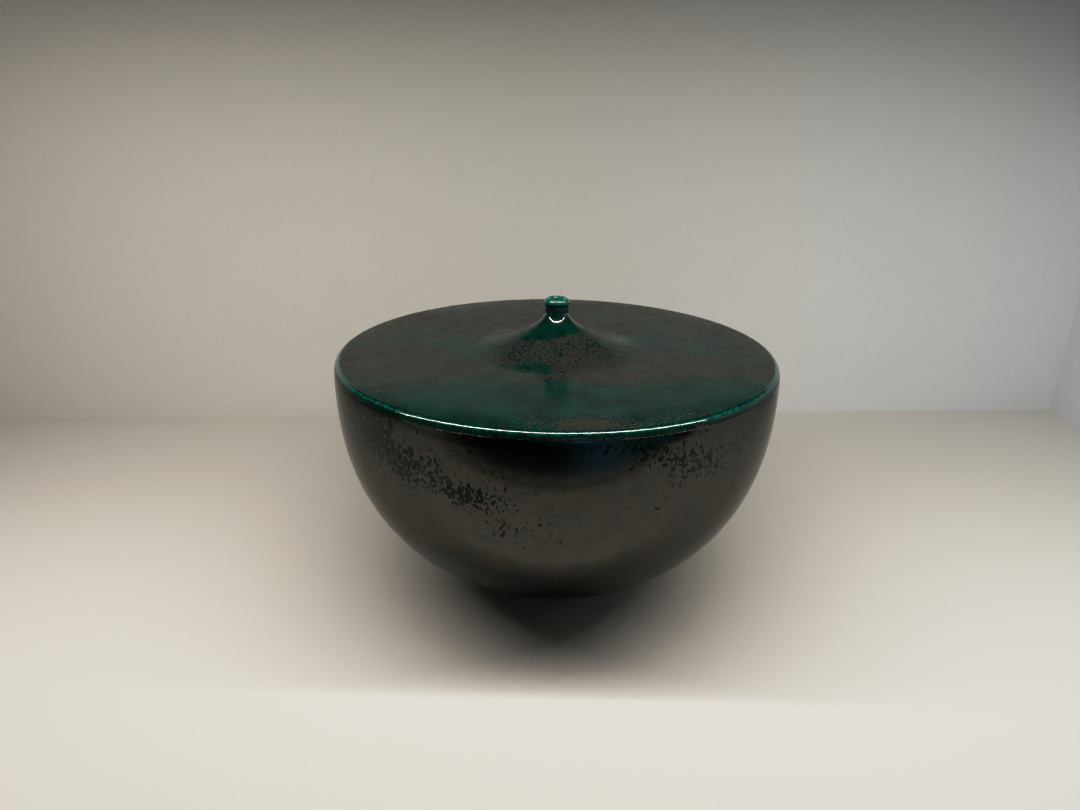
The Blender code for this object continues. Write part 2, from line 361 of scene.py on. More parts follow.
@dataclass(frozen=True)
class LustreGlaze:
    """Green glaze under a broken dark metallic lustre.

    The lustre is a thin metal film with a low reflectance, so it is a metallic finish with a
    dark colour. Where it breaks, the clear green glaze shows.
    """

    name: str
    radius: float
    cover: float                       # how well the lustre covers away from every spot
    stretch: Vector
    layout: Layout
    spots: tuple[Spot, ...]
    cell: float = 1.4 * MM             # size of a fleck
    drift: float = 0.56                # how much the cover drifts from place to place
    drift_cell: float = 34.0 * MM
    ragged_cell: float = 1.6 * MM      # grain of the bright edges' border
    pool_cell: float = 12.0 * MM       # patches where the clear glaze has pooled darker
    mottle_cell: float = 6.0 * MM      # patches of warm and cool lustre
    ripple_cell: float = 5.0 * MM      # waves in the glaze's surface
    field_green: Colour = (0.0020, 0.0190, 0.0112)
    pooled_green: Colour = (0.0010, 0.0080, 0.0060)
    # bright green of thin glaze, also lightened as painted light on the lid's rim and lip
    edge_green_and_painted_light: Colour = (0.0030, 0.1300, 0.1060)
    liner_green: Colour = (0.0015, 0.0300, 0.0210)
    warm_lustre: Colour = (0.100, 0.093, 0.080)
    cool_lustre: Colour = (0.081, 0.082, 0.077)
    # the neck's lustre band, tinted blue-grey as a painted reflection of the bluish room in front
    band_lustre_and_painted_reflection: Colour = (0.022, 0.048, 0.058)
    grazing_tint: Colour = (0.74, 0.74, 0.72)
    metal_share: float = 1.0
    clear_sheen: float = 0.24
    coat_index: float = 1.7
    coat_roughness: float = 0.04
    glaze_roughness: float = 0.07
    lustre_roughness: float = 0.12
    mottle_roughness: float = 0.05     # how much rougher cool lustre is than warm lustre
    clay_roughness: float = 0.78
    lustre_relief: float = 0.35        # heights of lustre and clay, in ripple heights
    clay_relief: float = 3.0
    bump_strength: float = 0.35
    bump_depth: float = 0.03 * MM

    def coverage(self, sheet: NodeSheet, place: Socket, traits: dict[Trait, Socket]) -> Socket:
        """Say how well the lustre covers each place, before it is broken into flecks.

        Args:
            sheet: the material's sheet.
            place: the place on the ware.
            traits: the share of each trait.

        Returns:
            The cover, for the group that breaks the lustre.
        """
        measured = place
        if self.layout is Layout.UNROLLED:
            feeds = {"Vector": place, "Radius": self.radius}
            measured = sheet.group(round_place_group(), feeds)["Place"]
        wander = sheet.centred_noise(place, self.drift_cell, 3.0, 0.55)
        cover = sheet.math("MULTIPLY_ADD", wander, self.drift, self.cover)
        for spot in self.spots:
            feeds = {"Place": measured, "Centre": spot.centre, "Reach": spot.reach}
            weight = sheet.group(soft_spot_group(), feeds)["Weight"]
            cover = sheet.math("MULTIPLY_ADD", weight, spot.cover, cover)
        for trait, change in COVER_CHANGES.items():
            cover = sheet.math("MULTIPLY_ADD", traits[trait], change, cover)
        return cover

    def skin_colour(self, sheet: NodeSheet, place: Socket, traits: dict[Trait, Socket],
                    mottle: Socket, lustre: Socket) -> Socket:
        """Mix the green of the open glaze and the grey of the lustre.

        Args:
            sheet: the material's sheet.
            place: the place on the ware.
            traits: the share of each trait.
            mottle: 0 where the lustre is warm and 1 where it is cool.
            lustre: 0 where the glaze is open and 1 under lustre.

        Returns:
            The glazed surface's colour.
        """
        pooling = sheet.fade(sheet.noise(place, self.pool_cell, 3.0, 0.6), 0.38, 0.62)
        green = sheet.blend_colour(pooling, self.field_green, self.pooled_green)
        green = sheet.blend_colour(traits[Trait.LINER], green, self.liner_green)
        green = sheet.blend_colour(traits[Trait.EDGE], green, self.edge_green_and_painted_light)
        metal = sheet.blend_colour(mottle, self.warm_lustre, self.cool_lustre)
        # the band's blue-grey is a painted reflection of the room
        metal = sheet.blend_colour(traits[Trait.BAND], metal, self.band_lustre_and_painted_reflection)
        return sheet.blend_colour(lustre, green, metal)

    def build(self) -> bpy.types.Material:
        """Make the material.

        Returns:
            The finished material.
        """
        material, sheet, place = new_material(self.name)
        traits = {
            trait: sheet.add("ShaderNodeAttribute", attribute_name=trait.value).outputs["Fac"]
            for trait in Trait
        }
        ragged = sheet.math("ADD", traits[Trait.EDGE], sheet.centred_noise(place, self.ragged_cell))
        traits[Trait.EDGE] = sheet.fade(ragged, 0.3, 0.7)
        lustre = sheet.group(lustre_break_group(), {
            "Vector": place, "Cell": self.cell, "Stretch": self.stretch,
            "Cover": self.coverage(sheet, place, traits),
        })["Lustre"]
        clay = sheet.group(bare_clay_group(), {"Vector": place, "Trait": traits[Trait.BARE]})
        bare = clay["Bare"]
        glazed = sheet.math("SUBTRACT", 1.0, bare)
        mottle = sheet.fade(sheet.noise(place, self.mottle_cell, 4.0, 0.65), 0.35, 0.65)
        skin = self.skin_colour(sheet, place, traits, mottle, lustre)
        metallic = sheet.math("MULTIPLY", lustre, self.metal_share)
        open_glaze = sheet.math("SUBTRACT", 1.0, lustre)
        wet_gloss = sheet.math("MULTIPLY", traits[Trait.GLOSS], open_glaze)
        wet = sheet.math("MAXIMUM", traits[Trait.EDGE], wet_gloss)
        satin = sheet.blend(lustre, self.glaze_roughness, self.lustre_roughness)
        uneven = sheet.math("MULTIPLY_ADD", mottle, self.mottle_roughness, satin)
        ripple = sheet.noise(place, self.ripple_cell)
        relief = sheet.math("MULTIPLY_ADD", lustre, self.lustre_relief, ripple)
        grain = sheet.math("MULTIPLY", clay["Height"], self.clay_relief)
        bump = sheet.add("ShaderNodeBump", {
            "Strength": self.bump_strength, "Distance": self.bump_depth,
            "Height": sheet.blend(bare, relief, grain),
        })
        sheet.fill(material.node_tree.nodes["Principled BSDF"], {
            "Base Color": sheet.blend_colour(bare, skin, clay["Colour"]),
            "Metallic": sheet.math("MULTIPLY", metallic, glazed),
            "Roughness": sheet.blend(bare, uneven, self.clay_roughness),
            "Specular IOR Level": self.clear_sheen,
            "Specular Tint": self.grazing_tint,
            "Coat Weight": sheet.math("MULTIPLY", wet, glazed),
            "Coat Roughness": self.coat_roughness,
            "Coat IOR": self.coat_index,
            "Normal": bump.outputs["Normal"],
        })
        return material


# ---- outlines

@dataclass(frozen=True)
class SideForm:
    """The outer side that the bowl and the lid share.

    A superellipse belly hangs from the widest level, and a parabola draws in above it.
    """

    body_radius: float
    top_level: float
    widest_below_top: float = 8.5 * MM
    lean: float = 14.8                 # 1 / metre, how strongly the side draws in at the top
    power_out: float = 2.12            # the belly's superellipse powers, outwards and down
    power_down: float = 2.38

    @property
    def widest_level(self) -> float:
        """The level at which the side is widest."""
        return self.top_level - self.widest_below_top

    def radius_at(self, level: float) -> float:
        """Outer radius of the side at a level above the widest one."""
        return self.body_radius - self.lean * (level - self.widest_level) ** 2

    def side(self, low: float, high: float, inset: float, steps: int) -> list[Vector]:
        """Points up the side between two levels, moved inwards by inset."""
        levels = [low + (high - low) * step / steps for step in range(steps + 1)]
        return [Vector((self.radius_at(level) - inset, level)) for level in levels]

    def belly(self, radius: float, depth: float, last_angle: float, steps: int) -> list[Vector]:
        """Points down a belly from its widest point, closer together where it starts."""
        points = []
        for step in range(steps + 1):
            angle = last_angle * (step / steps) ** 1.2
            reach = radius * max(cos(angle), 0.0) ** (2 / self.power_out)
            drop = depth * max(sin(angle), 0.0) ** (2 / self.power_down)
            points.append(Vector((reach, self.widest_level - drop)))
        return points


def arc_round(before: Vector, corner: Vector, after: Vector, radius: float,
              steps: int = 6) -> list[Vector]:
    """Round the corner between two straight stretches.

    Args:
        before: a point on the stretch that comes in.
        corner: where the two stretches would meet.
        after: a point on the stretch that goes out.
        radius: the rounding's radius.
        steps: how many steps the arc has.

    Returns:
        The arc's points in order.
    """
    into = (corner - before).normalized()
    out = (after - corner).normalized()
    turn = -into.angle_signed(out)
    start = corner - into * radius * tan(abs(turn) / 2)
    side = 1 if turn > 0 else -1
    centre = start + Vector((-into.y, into.x)) * radius * side
    arm = start - centre
    return [centre + Matrix.Rotation(turn * step / steps, 2) @ arm for step in range(steps + 1)]


def straight(start: Vector, end: Vector, steps: int, first: float = 0.0,
             last: float = 1.0) -> list[Vector]:
    """Points along a straight stretch, between two shares of the way."""
    low, high = start.lerp(end, first), start.lerp(end, last)
    return [low.lerp(high, step / steps) for step in range(steps + 1)]


def curved(start: Vector, start_pull: Vector, end_pull: Vector, end: Vector,
           steps: int) -> list[Vector]:
    """Points along a smooth curve, which leaves and arrives along its two pull points."""
    points = interpolate_bezier(start, start_pull, end_pull, end, steps + 1)
    return [Vector(point[:2]) for point in points]


@dataclass
class Outline:
    """A turned piece's section: inside first, over the top, then down the outer side."""

    points: list[Vector] = field(default_factory=list)
    traits: list[dict[Trait, float]] = field(default_factory=list)

    def run(self, points: list[Vector],
            traits: dict[Trait, float | tuple[float, float]] | None = None) -> None:
        """Add a run of points, leaving out any that repeat the last one.

        Args:
            points: the run's points.
            traits: each trait's value along the run, or its values at the run's two ends.
        """
        count = max(len(points) - 1, 1)
        for index, point in enumerate(points):
            if self.points and (point - self.points[-1]).length < 0.002 * MM:
                continue
            values = {}
            for trait, value in (traits or {}).items():
                ends = value if isinstance(value, tuple) else (value, value)
                values[trait] = ends[0] + (ends[1] - ends[0]) * index / count
            self.points.append(point)
            self.traits.append(values)

    def close(self) -> None:
        """Come back to the first point, for a section that has a hole along its axis."""
        self.points.append(self.points[0].copy())
        self.traits.append(dict(self.traits[0]))

    def mesh(self, name: str) -> bpy.types.Mesh:
        """Make the line of points a mesh with one attribute for each trait."""
        mesh = bpy.data.meshes.new(name)
        edges = [(index, index + 1) for index in range(len(self.points) - 1)]
        mesh.from_pydata([(point.x, 0.0, point.y) for point in self.points], edges, [])
        for trait in Trait:
            layer = mesh.attributes.new(trait.value, "FLOAT", "POINT")
            layer.data.foreach_set("value", [values.get(trait, 0.0) for values in self.traits])
        return mesh


# ---- turning

class TurningTree:
    """The Geometry Nodes tree that turns an outline about Z into closed ware."""

    INPUTS = (("Turn Steps", "NodeSocketInt"), ("Undulation", NUMBER), ("Undulation Cell", NUMBER),
              ("Merge Distance", NUMBER), ("Glaze", "NodeSocketMaterial"))

    def __init__(self) -> None:
        self.tree = bpy.data.node_groups.new("turned_ware", "GeometryNodeTree")
        interface = self.tree.interface
        interface.new_socket("Outline", in_out="INPUT", socket_type="NodeSocketGeometry")
        for label, kind in self.INPUTS:
            interface.new_socket(label, in_out="INPUT", socket_type=kind)
        interface.new_socket("Ware", in_out="OUTPUT", socket_type="NodeSocketGeometry")
        self.build()

    def build(self) -> None:
        """Fill the tree: a grid of rows and columns is wrapped round the axis."""
        sheet = NodeSheet(self.tree)
        given = sheet.add("NodeGroupInput").outputs
        size = sheet.add("GeometryNodeAttributeDomainSize", {"Geometry": given["Outline"]})
        columns = sheet.math("ADD", given["Turn Steps"], 1.0)
        grid = sheet.add("GeometryNodeMeshGrid", {
            "Vertices X": size.outputs["Point Count"], "Vertices Y": columns,
        })
        index = sheet.add("GeometryNodeInputIndex").outputs[0]
        row = sheet.math("FLOOR", sheet.math("DIVIDE", index, columns))
        column = sheet.math("SUBTRACT", index, sheet.math("MULTIPLY", row, columns))
        turn = sheet.math("DIVIDE", column, given["Turn Steps"])
        here = sheet.add("GeometryNodeInputPosition").outputs[0]
        section = self.sample(sheet, given["Outline"], here, row, "FLOAT_VECTOR")
        turned = sheet.add("ShaderNodeVectorRotate", {
            "Vector": section, "Angle": sheet.math("MULTIPLY", turn, 2 * pi),
        }, rotation_type="Z_AXIS")
        ware = sheet.add("GeometryNodeSetPosition", {
            "Geometry": grid.outputs["Mesh"], "Position": turned.outputs[0],
        }).outputs[0]
        for trait in Trait:
            share = self.sample(sheet, given["Outline"], self.read(sheet, trait), row, "FLOAT")
            ware = sheet.add("GeometryNodeStoreNamedAttribute", {
                "Geometry": ware, "Name": trait.value, "Value": share,
            }, data_type="FLOAT", domain="POINT").outputs[0]
        ware = sheet.add("GeometryNodeMergeByDistance", {
            "Geometry": ware, "Distance": given["Merge Distance"],
        }).outputs[0]
        ware = self.undulate(sheet, ware, given)
        ware = sheet.add("GeometryNodeSetShadeSmooth", {"Geometry": ware}).outputs[0]
        ware = sheet.add("GeometryNodeRealizeInstances", {"Geometry": ware}).outputs[0]
        ware = sheet.add("GeometryNodeSetMaterial", {
            "Geometry": ware, "Material": given["Glaze"],
        }).outputs[0]
        sheet.add("NodeGroupOutput", {"Ware": ware})

    @staticmethod
    def read(sheet: NodeSheet, trait: Trait) -> Socket:
        """Read a trait at each point."""
        return sheet.add("GeometryNodeInputNamedAttribute", {"Name": trait.value},
                         data_type="FLOAT").outputs["Attribute"]

    @staticmethod
    def sample(sheet: NodeSheet, geometry: Socket, value: Socket, index: Socket,
               kind: str) -> Socket:
        """Fetch a value from one point of a geometry."""
        return sheet.add("GeometryNodeSampleIndex", {
            "Geometry": geometry, "Value": value, "Index": index,
        }, data_type=kind).outputs[0]

    @staticmethod
    def undulate(sheet: NodeSheet, ware: Socket,
                 given: bpy.types.bpy_prop_collection) -> Socket:
        """Sink the surface a little here and there, as on ware thrown by hand."""
        place = sheet.add("GeometryNodeInputPosition").outputs[0]
        noise = sheet.noise(place, given["Undulation Cell"], 1.0)
        free = sheet.math("SUBTRACT", 1.0, TurningTree.read(sheet, Trait.STILL))
        depth = sheet.math("MULTIPLY", sheet.math("MULTIPLY", noise, free), given["Undulation"])
        inwards = sheet.math("MULTIPLY", depth, -1.0)
        offset = sheet.scale(sheet.add("GeometryNodeInputNormal").outputs[0], inwards)
        return sheet.add("GeometryNodeSetPosition", {"Geometry": ware, "Offset": offset}).outputs[0]

    def turn(self, name: str, outline: Outline, glaze: bpy.types.Material, steps: int,
             undulation: float = 0.05 * MM) -> bpy.types.Object:
        """Turn one outline.

        Args:
            name: the piece's name.
            outline: its section.
            glaze: its material.
            steps: how many facets it has round the axis.
            undulation: how deep its surface sinks at the most.

        Returns:
            A plain mesh object with no modifier left on it.
        """
        piece = bpy.data.objects.new(name, outline.mesh(name + "_outline"))
        bpy.context.scene.collection.objects.link(piece)
        modifier = piece.modifiers.new("turning", "NODES")
        modifier.node_group = self.tree
        values = {"Turn Steps": steps, "Undulation": undulation, "Undulation Cell": 60.0 * MM,
                  "Merge Distance": 0.001 * MM, "Glaze": glaze}
        for item in self.tree.interface.items_tree:
            if item.in_out == "INPUT" and item.name in values:
                modifier[item.identifier] = values[item.name]
        depsgraph = bpy.context.evaluated_depsgraph_get()
        mesh = bpy.data.meshes.new_from_object(piece.evaluated_get(depsgraph), depsgraph=depsgraph,
                                               preserve_all_data_layers=True)
        piece.modifiers.clear()
        section = piece.data
        piece.data = mesh
        bpy.data.meshes.remove(section)
        mesh.name = name
        mesh.materials.clear()
        mesh.materials.append(glaze)
        mesh.polygons.foreach_set("material_index", [0] * len(mesh.polygons))
        return piece


# ---- the two pieces

def settle(piece: bpy.types.Object, body: Body) -> None:
    """Let a piece stand for its CAD node and ride on its body."""
    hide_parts(body.value)
    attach(piece, body.value)
    triangles = sum(len(face.vertices) - 2 for face in piece.data.polygons)
    LOG.info("%s rides on %s: %d triangles", piece.name, body.value, triangles)


@dataclass(frozen=True)
class Seam:
    """How the lid meets the bowl."""

    side: SideForm
    below_top: float = 3.5 * MM
    gap: float = 0.05 * MM
    rounding: float = 0.12 * MM

    @property
    def seat_level(self) -> float:
        """Level of the lid's seat."""
        return self.side.top_level - self.below_top

    @property
    def rim_level(self) -> float:
        """Level of the bowl's rim."""
        return self.seat_level - self.gap


@dataclass(frozen=True)
class Bowl:
    """The round-bellied bowl with its foot ring."""

    side: SideForm
    seam: Seam
    wall: float = 5.5 * MM
    floor_thickness: float = 5.5 * MM
    foot_radius: float = 35.0 * MM
    foot_width: float = 6.5 * MM
    foot_recess: float = 3.0 * MM
    foot_rounding: float = 0.9 * MM
    rim_inner_rounding: float = 0.9 * MM
    belly_steps: int = 56
    turn_steps: int = 360

    def outline(self) -> Outline:
        """Section from the inside floor over the rim to the middle of the underside.

        Returns:
            The outline with its traits.
        """
        side = self.side
        outline = Outline()
        inner_floor = self.foot_recess + self.floor_thickness
        inside = side.belly(side.body_radius - self.wall, side.widest_level - inner_floor, pi / 2,
                            self.belly_steps)
        outline.run(inside[::-1], {Trait.LINER: 1.0})
        mouth = side.side(side.widest_level, self.seam.rim_level, self.wall, 4)
        outer = side.side(self.seam.rim_level, side.widest_level, 0.0, 10)
        outline.run(mouth[1:-1], {Trait.LINER: (1.0, 0.6), Trait.STILL: 1.0})
        outline.run(arc_round(mouth[-2], mouth[-1], outer[0], self.rim_inner_rounding),
                    {Trait.BARE: (0.2, 1.0), Trait.LINER: 0.6, Trait.STILL: 1.0})
        outline.run(straight(mouth[-1], outer[0], 4, 0.2, 0.92),
                    {Trait.BARE: 1.0, Trait.STILL: 1.0})
        outline.run(arc_round(mouth[-1], outer[0], outer[1], self.seam.rounding, 3),
                    {Trait.STILL: 1.0})
        outline.run(outer[1:], {Trait.STILL: (1.0, 0.0)})
        foot_angle = acos((self.foot_radius / side.body_radius) ** (side.power_out / 2))
        belly = side.belly(side.body_radius, side.widest_level, foot_angle, self.belly_steps)
        outline.run(belly[1:-1])
        self.run_foot(outline, belly[-2])
        return outline

    def run_foot(self, outline: Outline, before: Vector) -> None:
        """Add the foot ring and the recessed underside to the outline."""
        inner = self.foot_radius - self.foot_width
        corners = [Vector((self.foot_radius, 0.0)), Vector((inner, 0.0)),
                   Vector((inner - self.foot_recess, self.foot_recess))]
        centre = Vector((0.0, self.foot_recess))
        outline.run(arc_round(before, corners[0], corners[1], self.foot_rounding),
                    {Trait.BARE: (0.0, 1.0)})
        outline.run(arc_round(corners[0], corners[1], corners[2], self.foot_rounding),
                    {Trait.BARE: 1.0})
        outline.run(arc_round(corners[1], corners[2], centre, self.foot_rounding),
                    {Trait.BARE: (0.9, 0.0), Trait.LINER: 0.7})
        outline.run(straight(corners[2], centre, 8, 0.1), {Trait.LINER: 0.7})

    def build(self, tree: TurningTree, glaze: bpy.types.Material) -> None:
        """Turn the bowl and dress it."""
        piece = tree.turn("glazed_bowl", self.outline(), glaze, self.turn_steps)
        settle(piece, Body.BOWL)


@dataclass(frozen=True)
class Lid:
    """The flat lid, which sweeps up into a small open neck."""

    side: SideForm
    seam: Seam
    neck_height: float = 23.3 * MM
    thickness: float = 4.8 * MM
    slump_reach: float = 14.0 * MM     # how far inside its edge the flat top starts to sink
    slump: float = 0.52 * MM           # how far it has sunk where the rolled edge starts
    edge_rounding: float = 2.5 * MM    # radius of the rolled edge
    flange_depth: float = 6.0 * MM
    flange_thickness: float = 4.5 * MM
    flange_clearance: float = 1.3 * MM
    flange_rounding: float = 1.2 * MM
    wall: float = 5.5 * MM
    lip_radius: float = 5.75 * MM
    bore_radius: float = 2.95 * MM
    lip_inner_rounding: float = 1.1 * MM
    lip_outer_rounding: float = 1.6 * MM
    lip_height: float = 2.9 * MM       # the bead under the lip ends this far down
    bead: float = 0.45 * MM            # how far the lip stands out from the neck
    bead_share: float = 0.82           # share of the lip's height above the bead's turn
    band_height: float = 2.0 * MM      # the lustre band under the bead
    flare_top: float = 17.0 * MM
    flare_radius: float = 40.0 * MM
    flare_neck_pull: float = 6.7 * MM
    flare_top_pull: float = 10.0 * MM
    hollow_radius: float = 36.0 * MM
    hollow_top: float = 9.5 * MM
    hollow_bore_pull: float = 8.0 * MM
    hollow_disc_pull: float = 14.0 * MM
    flare_steps: int = 44
    hollow_steps: int = 21
    top_steps: int = 14
    edge_steps: int = 14
    green_from: float = 0.8            # share of the sinking rim where it turns bright green
    turn_steps: int = 360

    def outline(self) -> Outline:
        """Section up the bore, over the lip, down the neck, across the top and back under.

        Returns:
            The outline with its traits, closed on itself.
        """
        outline = Outline()
        top = self.side.top_level
        bore_end = Vector((self.bore_radius, top + self.hollow_top))
        neck_end = Vector((self.lip_radius - self.bead, top + self.flare_top))
        self.run_neck(outline, bore_end, neck_end)
        flare_end = Vector((self.flare_radius, top))
        flare = curved(neck_end, neck_end - Vector((0.0, self.flare_neck_pull)),
                       flare_end - Vector((self.flare_top_pull, 0.0)), flare_end,
                       self.flare_steps)
        glossy = len(flare) // 3
        outline.run(flare[:glossy], {Trait.GLOSS: (1.0, 0.25)})
        outline.run(flare[glossy:])
        self.run_edge(outline)
        self.run_underside(outline, bore_end)
        outline.close()
        return outline

    def run_neck(self, outline: Outline, bore_end: Vector, neck_end: Vector) -> None:
        """Add the bore, the rolled lip with its bead, and the straight neck."""
        lip_level = self.side.top_level + self.neck_height
        inner = Vector((self.bore_radius, lip_level))
        outer = Vector((self.lip_radius, lip_level))
        bead_end = Vector((self.lip_radius, lip_level - self.lip_height * self.bead_share))
        under_bead = Vector((self.lip_radius - self.bead, lip_level - self.lip_height))
        band_end = under_bead - Vector((0.0, self.band_height))
        # The lip's bright green is the thin glaze over its roll, made lighter as a painted
        # highlight and darker under the bead as painted shade.
        outline.run(straight(bore_end, inner - Vector((0.0, self.lip_inner_rounding)), 8),
                    {Trait.LINER: (1.0, 0.0), Trait.EDGE: (0.0, 1.0)})
        outline.run(arc_round(bore_end, inner, outer, self.lip_inner_rounding), {Trait.EDGE: 1.0})
        outline.run(arc_round(inner, outer, bead_end, self.lip_outer_rounding), {Trait.EDGE: 1.0})
        outline.run(straight(bead_end, under_bead, 3), {Trait.EDGE: (0.9, 0.3)})
        outline.run(straight(under_bead, band_end, 6)[1:], {Trait.BAND: 1.0})
        outline.run(straight(band_end, neck_end, 2)[1:], {Trait.GLOSS: 1.0})

    def run_edge(self, outline: Outline) -> None:
        """Add the flat top, its sinking rim, the rolled edge and the side down to the seat."""
        side = self.side
        slope = atan(2 * self.slump / self.slump_reach)
        middle = side.top_level - self.slump - self.edge_rounding * cos(slope)
        lean = atan(2 * side.lean * (middle - side.widest_level))
        low = middle + self.edge_rounding * sin(lean)
        centre = Vector((side.radius_at(low) - self.edge_rounding * cos(lean), middle))
        rim = centre.x + self.edge_rounding * sin(slope)
        start = rim - self.slump_reach
        outline.run(straight(Vector((self.flare_radius, side.top_level)),
                             Vector((start, side.top_level)), self.top_steps)[1:])
        for step in range(1, self.top_steps + 1):
            share = step / self.top_steps
            point = Vector((start + self.slump_reach * share,
                            side.top_level - self.slump * share ** 2))
            outline.run([point], {Trait.EDGE: max(0.0, share - self.green_from)})
        arc = []
        for step in range(1, self.edge_steps + 1):
            angle = pi / 2 - slope + (lean + slope - pi / 2) * step / self.edge_steps
            arc.append(centre + self.edge_rounding * Vector((cos(angle), sin(angle))))
        # Painted light on the rolled edge: the bright green rises towards the highlight, peaks just
        # under it and fades out below, darker towards the seat.
        upper = self.edge_steps // 3 + 1
        outline.run(arc[:upper], {Trait.EDGE: (0.2, 0.4), Trait.GLOSS: 1.0})
        outline.run(arc[upper:], {Trait.EDGE: (0.62, 0.0), Trait.GLOSS: (1.0, 0.0)})
        short_side = side.side(low, self.seam.seat_level, 0.0, 4)
        outline.run(short_side[1:-1], {Trait.STILL: (0.0, 1.0)})

    def run_underside(self, outline: Outline, bore_end: Vector) -> None:
        """Add the seat, the flange and the hollow underside."""
        side = self.side
        level = self.seam.seat_level
        seat_outer = Vector((side.radius_at(level), level))
        mouth = side.radius_at(self.seam.rim_level) - self.wall
        flange = mouth - self.flange_clearance
        inner = flange - self.flange_thickness
        bottom = level - self.flange_depth
        ceiling = side.top_level - self.thickness
        hollow_end = Vector((self.hollow_radius, ceiling))
        corners = [Vector((flange, level)), Vector((flange, bottom)), Vector((inner, bottom)),
                   Vector((inner, ceiling))]
        outline.run(arc_round(outline.points[-1], seat_outer, corners[0], self.seam.rounding, 3),
                    {Trait.STILL: 1.0})
        outline.run(straight(seat_outer, corners[0], 4, 0.07, 0.7),
                    {Trait.BARE: 1.0, Trait.STILL: 1.0})
        path = [seat_outer] + corners + [hollow_end]
        for index, corner in enumerate(corners):
            bare = {0: (1.0, 0.7), 1: (0.7, 0.0)}.get(index, 0.0)
            outline.run(arc_round(path[index], corner, path[index + 2], self.flange_rounding),
                        {Trait.BARE: bare, Trait.LINER: 1.0})
        hollow = curved(hollow_end, hollow_end - Vector((self.hollow_disc_pull, 0.0)),
                        bore_end - Vector((0.0, self.hollow_bore_pull)), bore_end,
                        self.hollow_steps)
        outline.run(straight(corners[-1], hollow_end, 8, 0.1), {Trait.LINER: 1.0})
        outline.run(hollow[1:-1], {Trait.LINER: 1.0})

    def build(self, tree: TurningTree, glaze: bpy.types.Material) -> None:
        """Turn the lid and dress it."""
        piece = tree.turn("glazed_lid", self.outline(), glaze, self.turn_steps)
        settle(piece, Body.LID)


# ---- where the lustre breaks

FAR = 10.0     # metres, the reach of a spot in the direction that it isn't limited in

# degrees round the axis from the front, level, reach round, reach up and down, cover
SIDE_SPOTS = (
    (-54, 0.97, 0.36, 0.22, -0.21),
    (-40, 0.98, 0.28, 0.21, -0.25),
    (-29, 0.90, 0.24, 0.13, -0.25),
    (-19, 0.83, 0.19, 0.09, -0.33),
    (46, 0.95, 0.28, 0.15, -0.19),
    (32, 0.95, 0.22, 0.15, -0.18),
    (20, 1.02, 0.20, 0.10, -0.18),
    (12, 1.06, 0.20, 0.05, -0.20),
    (-28, 0.45, 0.36, 0.15, -0.52),
    (-8, 0.42, 0.36, 0.09, -0.38),
    (14, 0.50, 0.28, 0.07, -0.20),
    (-6, 0.70, 0.28, 0.18, -0.04),
)

# right, forward, reach sideways, reach in depth, cover
TOP_SPOTS = (
    (-0.45, 0.76, 0.65, 0.36, -0.32),
    (0.10, 0.66, 0.55, 0.28, -0.38),
    (0.70, 0.62, 0.45, 0.36, -0.30),
    (-0.38, 0.02, 0.28, 0.30, -0.22),
    (0.40, -0.12, 0.26, 0.20, -0.20),
    (0.78, -0.17, 0.14, 0.05, -0.30),
    (0.10, 0.91, 0.11, 0.05, 0.24),
    (0.61, 0.26, 0.34, 0.26, 0.12),
    (-0.75, 0.24, 0.42, 0.40, 0.12),
    (-0.10, 0.34, 0.15, 0.08, -0.16),
    (-0.04, 0.05, 0.145, 0.12, -1.20),
)


def on_side(radius: float, degrees: float, level: float, width: float, height: float,
            cover: float) -> Spot:
    """Place a spot on the outer side, from a row of shares of the body's radius."""
    return Spot(Vector((radians(degrees) * radius, 0.0, level * radius)),
                Vector((width * radius, FAR, height * radius)), cover)


def on_top(radius: float, right: float, forward: float, width: float, depth: float,
           cover: float) -> Spot:
    """Place a spot on the lid's top, from a row of shares of the body's radius."""
    return Spot(Vector((right * radius, -forward * radius, 0.0)),
                Vector((width * radius, depth * radius, FAR)), cover)


def bowl_glaze(radius: float) -> LustreGlaze:
    """The bowl's glaze: almost all lustre, broken in drifts round the belly."""
    spots = tuple(on_side(radius, *row) for row in SIDE_SPOTS)
    return LustreGlaze("bowl_glaze", radius, 0.22, Vector((1.0, 1.0, 1.5)), Layout.UNROLLED, spots)


def lid_glaze(radius: float) -> LustreGlaze:
    """The lid's glaze: matter lustre at the back and the sides, green drifts at the front."""
    spots = tuple(on_top(radius, *row) for row in TOP_SPOTS)
    return LustreGlaze("lid_glaze", radius, 0.03, Vector((1.0, 1.0, 1.0)), Layout.FLAT, spots,
                       cell=1.3 * MM,
                       field_green=(0.0012, 0.0340, 0.0240), pooled_green=(0.0008, 0.0190, 0.0145),
                       warm_lustre=(0.050, 0.047, 0.040), cool_lustre=(0.038, 0.039, 0.036),
                       metal_share=0.25, clear_sheen=0.20, glaze_roughness=0.18,
                       lustre_roughness=0.34)


# ---- studio

@dataclass(frozen=True)
class Viewpoint:
    """Where the camera stands, in shares of the body's radius, and how it looks."""

    distance: float = 3.4531
    height: float = 2.1689
    pitch: float = -0.36895
    yaw: float = 0.02088
    roll: float = 0.01071
    lens: float = 26.0

    def place(self, unit: float) -> None:
        """Create the scene's camera."""
        camera = bpy.data.objects.new("camera", bpy.data.cameras.new("camera"))
        camera.data.lens = self.lens
        camera.data.sensor_width = 36.0
        camera.data.clip_start = 0.01
        turned = (Matrix.Rotation(self.yaw, 4, "Z") @ Matrix.Rotation(pi / 2 + self.pitch, 4, "X")
                  @ Matrix.Rotation(self.roll, 4, "Z"))
        camera.matrix_world = Matrix.Translation((0.0, -self.distance * unit,
                                                  self.height * unit)) @ turned
        bpy.context.scene.collection.objects.link(camera)
        bpy.context.scene.camera = camera


